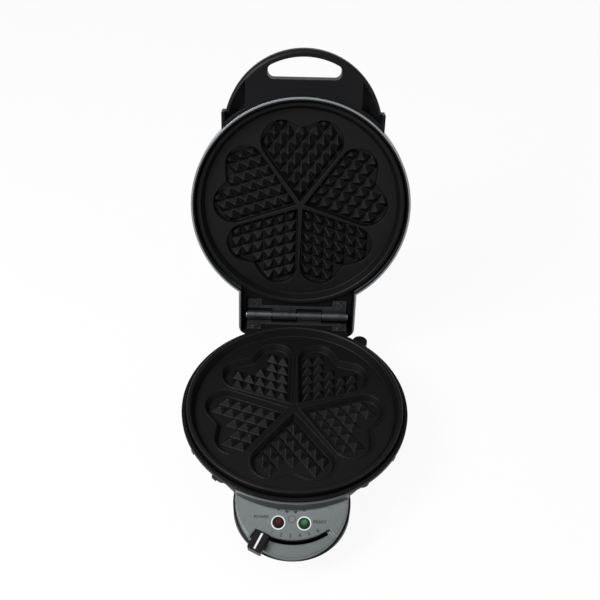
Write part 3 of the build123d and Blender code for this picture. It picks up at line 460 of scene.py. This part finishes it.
@dataclass(frozen=True)
class TintedLens:
    """Lamp lens: deep in its own tint at the edge, with a painted glow that lightens it over the bulb."""

    name: str
    middle: Vector
    edge: Colour
    centre: Colour
    radius: float = 0.0051
    core: float = 0.15
    reach: float = 0.95
    swirl: float = 0.0012
    swirl_grain: float = 0.0022
    ripple_grain: float = 0.0011
    ripple: float = 0.00003
    rounding: float = 0.0006

    def material(self) -> bpy.types.Material:
        """Return the material."""
        tree = Tree.of_material(self.name)
        reach = tree.length(tree.apart(tree.place(), tuple(self.middle)))
        cloud = tree.noise(self.swirl_grain)
        blurred = reach + self.swirl * cloud
        # The lens is painted lighter towards its middle, a painted glow over the bulb; its edge keeps the
        # lens's own deep tint.
        glow = 1.0 - blurred.between(self.core * self.radius, self.reach * self.radius)
        colour = tree.mixed(glow, self.edge, self.centre)
        ripples = tree.noise(self.ripple_grain, 1.0)
        relief = tree.bump(ripples, self.ripple, tree.rounded(self.rounding))
        return tree.surface(Base_Color=colour, Roughness=0.30 + 0.08 * cloud, Specular_Ior_Level=0.14,
                            Normal=relief)


@dataclass(frozen=True)
class PrintedInk:
    """Dark printed ink, a little thin and broken at its edges."""

    name: str = "printed_ink"
    colour: Colour = (0.008, 0.0085, 0.0095)
    thin: Colour = (0.030, 0.032, 0.035)
    grain: float = 0.0007
    relief: float = 0.00001
    rounding: float = 0.0001

    def material(self) -> bpy.types.Material:
        """Return the material."""
        tree = Tree.of_material(self.name)
        worn = tree.noise(self.grain, 3.0)
        colour = tree.mixed(worn.between(0.52, 0.75), self.colour, self.thin)
        normal = tree.bump(worn, self.relief, tree.rounded(self.rounding))
        return tree.surface(Base_Color=colour, Roughness=0.45 + 0.15 * worn, Normal=normal)


class Finish(Enum):
    """The finishes of the waffle maker's pieces."""

    COATING = NonStickCoating()
    BLACK = MouldedPlastic()
    HANDLE = MouldedPlastic(name="handle_moulding", colour=(0.0046, 0.0048, 0.0056), roughness=0.34)
    KNOB = MouldedPlastic(name="knob_moulding", colour=(0.0022, 0.0023, 0.0030), roughness=0.30,
                          rounding=0.0005)
    LID = LacqueredLid()
    PANEL = SilverLacquer(name="panel_lacquer", colour=(0.118, 0.134, 0.135), flake=(0.200, 0.216, 0.218),
                          roughness=0.36, rounding=0.0016)
    HINGE_STEEL = Metal("hinge_steel", (0.10, 0.105, 0.11), (0.05, 0.052, 0.055), 0.36, 0.0004)
    PIN_STEEL = Metal("pin_steel", (0.30, 0.31, 0.32), (0.16, 0.16, 0.165), 0.28)
    ZINC = Metal("zinc_plate", (0.55, 0.56, 0.58), (0.38, 0.38, 0.37), 0.30)
    SHEET = Metal("aluminised_sheet", (0.60, 0.60, 0.60), (0.44, 0.43, 0.41), 0.38)
    TUBE = Metal("heater_tube", (0.34, 0.32, 0.30), (0.17, 0.15, 0.14), 0.42)
    RUBBER = Compound("black_rubber", (0.012, 0.012, 0.012), (0.022, 0.022, 0.022), 0.72)
    CERAMIC = Compound("pale_ceramic", (0.62, 0.58, 0.50), (0.50, 0.47, 0.42), 0.55)
    RING = Compound("pale_ring", (0.70, 0.73, 0.72), (0.80, 0.82, 0.81), 0.30, 0.0006, 0.00002, 0.0004)
    WHITE = Compound("white_inlay", (0.72, 0.73, 0.74), (0.58, 0.59, 0.60), 0.42, 0.0006, 0.00002, 0.0002)
    BULB = Compound("bulb_glass", (0.55, 0.42, 0.34), (0.42, 0.32, 0.26), 0.15, 0.001, 0.00001)
    INK = PrintedInk()


class Wardrobe:
    """Makes each finish once and gives it to pieces."""

    def __init__(self) -> None:
        """Start with no material made."""
        self.made: dict[Finish, bpy.types.Material] = {}

    def material(self, finish: Finish) -> bpy.types.Material:
        """Return a finish's material, made at its first use."""
        if finish not in self.made:
            self.made[finish] = finish.value.material()
        return self.made[finish]

    def dress(self, piece: bpy.types.Object, finish: Finish) -> None:
        """Give a whole piece one finish."""
        self.wear(piece, self.material(finish))

    @staticmethod
    def wear(piece: bpy.types.Object, material: bpy.types.Material) -> None:
        """Give a whole piece one material."""
        piece.data.materials.clear()
        piece.data.materials.append(material)
        log.info("%s wears %s", piece.name, material.name)


# ---------------------------------------------------------------- meshes
@dataclass(frozen=True)
class PanelFace:
    """The plane of the control panel. Its origin is on the slider's axis, its y towards the hinge."""

    origin: Vector
    normal: Vector

    @classmethod
    def from_joint(cls, name: str) -> "PanelFace":
        """Read the plane from the joint whose axis is square to the panel."""
        joint = next(j for j in frame["joints"] if j["name"] == name)
        return cls(Vector(joint["pos_m"]), Vector(joint["axis"]).normalized())

    def matrix(self, x: float, y: float, lift: float, turn: float = 0.0) -> Matrix:
        """Return the placement of something drawn flat.

        Args:
            x: Its place to the right of the slider's axis.
            y: Its place behind the slider's axis.
            lift: Its height over the panel.
            turn: How far it is turned on the panel, in radians, to the left.

        Returns:
            The matrix from its own plane to the frame.
        """
        across = Vector((1.0, 0.0, 0.0))
        back = self.normal.cross(across)
        place = self.origin + across * x + back * y + self.normal * lift
        basis = Matrix((across, back, self.normal)).transposed().to_4x4()
        return Matrix.Translation(place) @ basis @ Matrix.Rotation(turn, 4, "Z")


def new_piece(name: str, mesh: bpy.types.Mesh, body: str) -> bpy.types.Object:
    """Add a mesh as a piece that moves with a body.

    Args:
        name: The piece's name.
        mesh: Its mesh, in the frame's coordinates.
        body: The body that carries it.

    Returns:
        The piece.
    """
    piece = bpy.data.objects.new(name, mesh)
    bpy.context.scene.collection.objects.link(piece)
    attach(piece, body)
    return piece


# ---------------------------------------------------------------- sub-assemblies
@dataclass
class DressedAssembly:
    """A sub-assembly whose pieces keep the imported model's shapes and take one finish each."""

    wardrobe: Wardrobe
    finishes: dict[str, Finish] = field(default_factory=dict)

    def build(self) -> None:
        """Dress the sub-assembly's pieces."""
        for node, finish in self.finishes.items():
            self.wardrobe.dress(frame["nodes"][node], finish)


@dataclass
class Housing(DressedAssembly):
    """Base housing with its feet, its cord outlet and what is fixed inside it."""

    finishes: dict[str, Finish] = field(default_factory=lambda: {
        "base_shell": Finish.BLACK,
        "rubber_feet": Finish.RUBBER,
        "cord_gland": Finish.RUBBER,
        "lower_reflector": Finish.SHEET,
        "lower_heating_element": Finish.TUBE,
        "lower_plate_screws": Finish.ZINC,
        "fascia_screws": Finish.ZINC,
        "thermostat_body": Finish.CERAMIC,
        "thermostat_bracket": Finish.SHEET,
        "thermal_fuse": Finish.ZINC,
        "fuse_clip": Finish.SHEET,
        "terminal_block": Finish.CERAMIC,
    })


@dataclass
class CookingPlates(DressedAssembly):
    """The two cast plates."""

    finishes: dict[str, Finish] = field(default_factory=lambda: {
        "lower_plate": Finish.COATING,
        "upper_plate": Finish.COATING,
    })


@dataclass
class Lid(DressedAssembly):
    """Silver lid shell, its chassis and its handle."""

    finishes: dict[str, Finish] = field(default_factory=lambda: {
        "lid_shell": Finish.LID,
        "lid_hinge_mount": Finish.BLACK,
        "lid_chassis": Finish.SHEET,
        "lid_chassis_screws": Finish.ZINC,
        "upper_plate_screws": Finish.ZINC,
        "upper_heating_element": Finish.TUBE,
        "handle": Finish.HANDLE,
        "handle_screws": Finish.ZINC,
    })


@dataclass
class Hinge(DressedAssembly):
    """Two leaves on one pin."""

    finishes: dict[str, Finish] = field(default_factory=lambda: {
        "base_hinge_leaf": Finish.HINGE_STEEL,
        "lid_hinge_leaf": Finish.HINGE_STEEL,
        "base_hinge_screws": Finish.HINGE_STEEL,
        "lid_hinge_screws": Finish.HINGE_STEEL,
        "hinge_pin": Finish.PIN_STEEL,
    })


@dataclass
class Lamps:
    """Red and green pilot lamps in pale rings."""

    wardrobe: Wardrobe
    red_edge: Colour = (0.004, 0.0012, 0.0012)
    # The centre colours are the painted glow over each bulb.
    red_centre: Colour = (0.075, 0.004, 0.006)
    green_edge: Colour = (0.003, 0.018, 0.008)
    green_centre: Colour = (0.060, 0.200, 0.085)

    def build(self) -> None:
        """Dress the lenses, their rings and the bulbs behind them."""
        tints = {"red_lens": (self.red_edge, self.red_centre),
                 "green_lens": (self.green_edge, self.green_centre)}
        for node, (edge, centre) in tints.items():
            low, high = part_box(node)
            middle = (low + high) / 2 + Vector((0.0, 0.0, (high.z - low.z) / 2))
            lens = TintedLens(f"{node}_tint", middle, edge, centre)
            self.wardrobe.wear(frame["nodes"][node], lens.material())
        self.wardrobe.dress(frame["nodes"]["lamp_bezels"], Finish.RING)
        self.wardrobe.dress(frame["nodes"]["lamp_holder"], Finish.BLACK)
        self.wardrobe.dress(frame["nodes"]["neon_lamps"], Finish.BULB)


@dataclass
class Slider(DressedAssembly):
    """Temperature knob on its lever, with the thermostat's spindle."""

    finishes: dict[str, Finish] = field(default_factory=lambda: {
        "slider_knob": Finish.KNOB,
        "knob_pointer": Finish.WHITE,
        "slider_lever": Finish.SHEET,
        "thermostat_spindle": Finish.PIN_STEEL,
    })


@dataclass
class ControlPanel:
    """Silver fascia with its printed marks: plain numbers, lamp words and a row of small hearts."""

    wardrobe: Wardrobe
    face: PanelFace
    number_reach: float = 50.3 * MM
    number_first: float = -19.0
    number_last: float = 27.1
    number_height: float = 3.4 * MM
    word_height: float = 2.7 * MM
    print_lift: float = 0.03 * MM
    print_thickness: float = 0.03 * MM
    number_count: int = 6
    words: tuple[tuple[str, float, float], ...] = (
        ("POWER", -26.0 * MM, -34.4 * MM),
        ("READY", 24.8 * MM, -37.2 * MM),
    )
    capital_share: float = 0.72
    heart_count: int = 5
    heart_points: int = 40
    heart_waves: tuple[float, float, float, float] = (13.0, -5.0, -2.0, -1.0)
    heart_half: float = 16.0
    heart_size: float = 3.2 * MM
    heart_reach: float = 29.3 * MM
    heart_first: float = -23.0
    heart_last: float = 37.0
    ring_place: tuple[float, float] = (0.4 * MM, -35.6 * MM)
    ring_radius: float = 3.3 * MM
    ring_width: float = 0.45 * MM
    ring_points: int = 48
    stroke: float = 0.09 * MM

    def build(self) -> None:
        """Dress the fascia and print its marks."""
        self.wardrobe.dress(frame["nodes"]["control_fascia"], Finish.PANEL)
        self._numbers()
        self._words()
        self._hearts()
        self._ring()

    def _print(self, name: str, mesh: bpy.types.Mesh) -> None:
        """Add one printed mark to the panel."""
        piece = new_piece(name, mesh, "base")
        self.wardrobe.dress(piece, Finish.INK)

    def _lettering(self, text: str, height: float, matrix: Matrix) -> bpy.types.Mesh:
        """Return the mesh of a short text.

        Args:
            text: The characters.
            height: Their height.
            matrix: Where they are placed, from their middle.

        Returns:
            The mesh, in the frame's coordinates.
        """
        curve = bpy.data.curves.new(f"letters_{text}", "FONT")
        curve.body = text
        curve.align_x = "CENTER"
        curve.align_y = "CENTER"
        curve.size = height / self.capital_share
        curve.extrude = self.print_thickness / 2
        curve.resolution_u = 4
        curve.offset = self.stroke
        holder = bpy.data.objects.new(f"letters_{text}", curve)
        bpy.context.scene.collection.objects.link(holder)
        bpy.context.view_layer.update()
        ready = holder.evaluated_get(bpy.context.evaluated_depsgraph_get())
        mesh = bpy.data.meshes.new_from_object(ready)
        bpy.data.objects.remove(holder)
        mesh.transform(matrix)
        return mesh

    def _on_arc(self, reach: float, angle: float) -> Matrix:
        """Return the placement of a mark on an arc round the slider's axis, its foot outwards."""
        turn = math.radians(angle)
        return self.face.matrix(reach * math.sin(turn), -reach * math.cos(turn), self.print_lift, turn)

    def _numbers(self) -> None:
        """Print the scale's numbers, evenly spread along the slider's arc."""
        step = (self.number_last - self.number_first) / (self.number_count - 1)
        for index in range(self.number_count):
            matrix = self._on_arc(self.number_reach, self.number_first + index * step)
            mesh = self._lettering(str(index + 1), self.number_height, matrix)
            self._print(f"scale_number_{index + 1}", mesh)

    def _words(self) -> None:
        """Print a plain word beside each lamp."""
        for text, x, y in self.words:
            matrix = self.face.matrix(x, y, self.print_lift)
            self._print(f"lamp_word_{text}", self._lettering(text, self.word_height, matrix))

    def _hearts(self) -> None:
        """Print a row of small hearts behind the lamps."""
        step = (self.heart_last - self.heart_first) / (self.heart_count - 1)
        for index in range(self.heart_count):
            mesh = self._heart_mesh(self._on_arc(self.heart_reach, self.heart_first + index * step))
            self._print(f"panel_heart_{index + 1}", mesh)

    def _ring(self) -> None:
        """Print the thin ring between the lamps."""
        outer, inner, top = self.ring_radius, self.ring_radius - self.ring_width, self.print_thickness / 2
        section = ((outer, 0.0), (inner, 0.0), (inner, top), (outer, top))
        sides = len(section)
        corners, faces = [], []
        for index in range(self.ring_points):
            turn = 2 * math.pi * index / self.ring_points
            corners += [(radius * math.cos(turn), radius * math.sin(turn), height)
                        for radius, height in section]
            here, ahead = sides * index, sides * ((index + 1) % self.ring_points)
            for side in range(sides):
                beside = (side + 1) % sides
                faces.append((here + side, here + beside, ahead + beside, ahead + side))
        mesh = bpy.data.meshes.new("panel_ring")
        mesh.from_pydata(corners, [], faces)
        mesh.transform(self.face.matrix(*self.ring_place, self.print_lift))
        self._print("panel_ring", mesh)

    def _heart_mesh(self, matrix: Matrix) -> bpy.types.Mesh:
        """Return a small flat heart, from the heart curve of sines and cosines."""
        unit = self.heart_size / (2 * self.heart_half)
        bm = bmesh.new()
        corners = []
        for index in range(self.heart_points):
            turn = 2 * math.pi * index / self.heart_points
            across = self.heart_half * math.sin(turn) ** 3
            up = sum(wave * math.cos(order * turn) for order, wave in enumerate(self.heart_waves, 1))
            corners.append(bm.verts.new((across * unit, up * unit, 0.0)))
        bottom = bm.faces.new(corners)
        raised = bmesh.ops.extrude_face_region(bm, geom=[bottom])
        top = [v for v in raised["geom"] if isinstance(v, bmesh.types.BMVert)]
        bmesh.ops.translate(bm, verts=top, vec=(0.0, 0.0, self.print_thickness / 2))
        bmesh.ops.recalc_face_normals(bm, faces=bm.faces)
        mesh = bpy.data.meshes.new("panel_heart")
        bm.to_mesh(mesh)
        bm.free()
        mesh.transform(matrix)
        return mesh


# ---------------------------------------------------------------- studio
@dataclass(frozen=True)
class SoftLight:
    """One large soft lamp that points at the waffle maker."""

    name: str
    place: tuple[float, float, float]
    size: float
    power: float
    target: tuple[float, float, float] = (0.0, 0.02, 0.12)

    def build(self) -> None:
        """Add the lamp."""
        lamp = bpy.data.lights.new(self.name, "AREA")
        lamp.shape = "SQUARE"
        lamp.size = self.size
        lamp.energy = self.power
        holder = bpy.data.objects.new(self.name, lamp)
        holder.location = self.place
        direction = Vector(self.target) - Vector(self.place)
        holder.rotation_euler = direction.to_track_quat("-Z", "Y").to_euler()
        bpy.context.scene.collection.objects.link(holder)


@dataclass(frozen=True)
class PhotoCamera:
    """The camera at the photograph's viewing angle."""

    place: tuple[float, float, float] = (-0.0036, -0.4929, 0.6585)
    down: float = 46.18
    left: float = 2.0
    roll: float = 0.29
    focal_pixels: float = 807.4
    image_width: float = 600.0
    sensor_width: float = 36.0
    shift: tuple[float, float] = (0.0451, 0.0741)

    def build(self) -> None:
        """Add the camera and make it the scene's own."""
        down, left = math.radians(self.down), math.radians(self.left)
        ahead = Vector((-math.sin(left) * math.cos(down), math.cos(left) * math.cos(down), -math.sin(down)))
        right = Vector((math.cos(left), math.sin(left), 0.0))
        up = right.cross(ahead)
        basis = Matrix((right, up, -ahead)).transposed().to_4x4()
        data = bpy.data.cameras.new("photo_camera")
        data.sensor_width = self.sensor_width
        data.lens = self.focal_pixels / self.image_width * data.sensor_width
        data.shift_x, data.shift_y = self.shift
        camera = bpy.data.objects.new("photo_camera", data)
        camera.matrix_world = (Matrix.Translation(self.place) @ basis
                               @ Matrix.Rotation(math.radians(self.roll), 4, "Z"))
        bpy.context.scene.collection.objects.link(camera)
        bpy.context.scene.camera = camera


@dataclass
class Studio:
    """Pale floor, soft lamps, an even sky and the camera."""

    floor_half: float = 6.0
    paper_grain: float = 0.4
    paper_dark: Colour = (0.86, 0.86, 0.86)
    paper_light: Colour = (0.90, 0.90, 0.90)
    floor_glow: float = 0.93
    sky_strength: float = 0.26
    lights: tuple[SoftLight, ...] = (
        SoftLight("key_softbox", (-0.95, -0.55, 1.35), 0.70, 26.0),
        SoftLight("fill_softbox", (1.30, -0.70, 0.90), 0.90, 3.0),
        SoftLight("top_softbox", (0.02, 0.05, 1.30), 0.22, 1.5, (0.0, -0.12, 0.05)),
    )

    def build(self) -> None:
        """Build the studio."""
        self._floor()
        self._sky()
        for light in self.lights:
            light.build()
        PhotoCamera().build()
        bpy.context.scene.view_settings.view_transform = "Standard"

    @staticmethod
    def _seen(tree: "Tree") -> Signal:
        """Return 1 for rays that show the background: camera, glossy and transmission rays."""
        seen = tree.node("ShaderNodeLightPath", output="Is Camera Ray")
        for kind in ("Is Glossy Ray", "Is Transmission Ray"):
            seen = seen.largest(tree.node("ShaderNodeLightPath", output=kind))
        return seen

    def _floor(self) -> None:
        """Lay the pale floor."""
        half = self.floor_half
        mesh = bpy.data.meshes.new("floor")
        corners = [(-half, -half, 0.0), (half, -half, 0.0), (half, half, 0.0), (-half, half, 0.0)]
        mesh.from_pydata(corners, [], [(0, 1, 2, 3)])
        floor = bpy.data.objects.new("floor", mesh)
        bpy.context.scene.collection.objects.link(floor)
        tree = Tree.of_material("floor_white")
        paper = tree.noise(self.paper_grain)
        matt = tree.node("ShaderNodeBsdfDiffuse", None,
                         {"Color": tree.mixed(paper, self.paper_dark, self.paper_light)})
        glow = tree.node("ShaderNodeEmission", None, {"Color": WHITE, "Strength": 1.0})
        mix = tree.node("ShaderNodeMixShader", None,
                        {0: self._seen(tree) * self.floor_glow, 1: matt, 2: glow})
        tree.node("ShaderNodeOutputMaterial", None, {"Surface": mix})
        mesh.materials.append(tree.owner)

    def _sky(self) -> None:
        """Light the scene evenly, and show white behind it."""
        world = bpy.data.worlds.new("studio_sky")
        bpy.context.scene.world = world
        tree = Tree(world)
        seen = tree.node("ShaderNodeLightPath", output="Is Camera Ray")
        strength = tree.node("ShaderNodeMapRange", None,
                             {"Value": seen, "To Min": self.sky_strength, "To Max": 1.0}, "Result")
        glow = tree.node("ShaderNodeBackground", None, {"Color": WHITE, "Strength": strength})
        tree.node("ShaderNodeOutputWorld", None, {"Surface": glow})


def main() -> None:
    """Build and dress the waffle maker, then the studio."""
    logging.basicConfig(level=logging.INFO, format="%(name)s: %(message)s")
    wardrobe = Wardrobe()
    face = PanelFace.from_joint("temperature_slider")
    assemblies = (Housing(wardrobe), CookingPlates(wardrobe), Lid(wardrobe), Hinge(wardrobe),
                  Lamps(wardrobe), Slider(wardrobe), ControlPanel(wardrobe, face))
    for assembly in assemblies:
        assembly.build()
        log.info("%s is built", type(assembly).__name__)
    Studio().build()


if __name__ == "__main__":
    main()
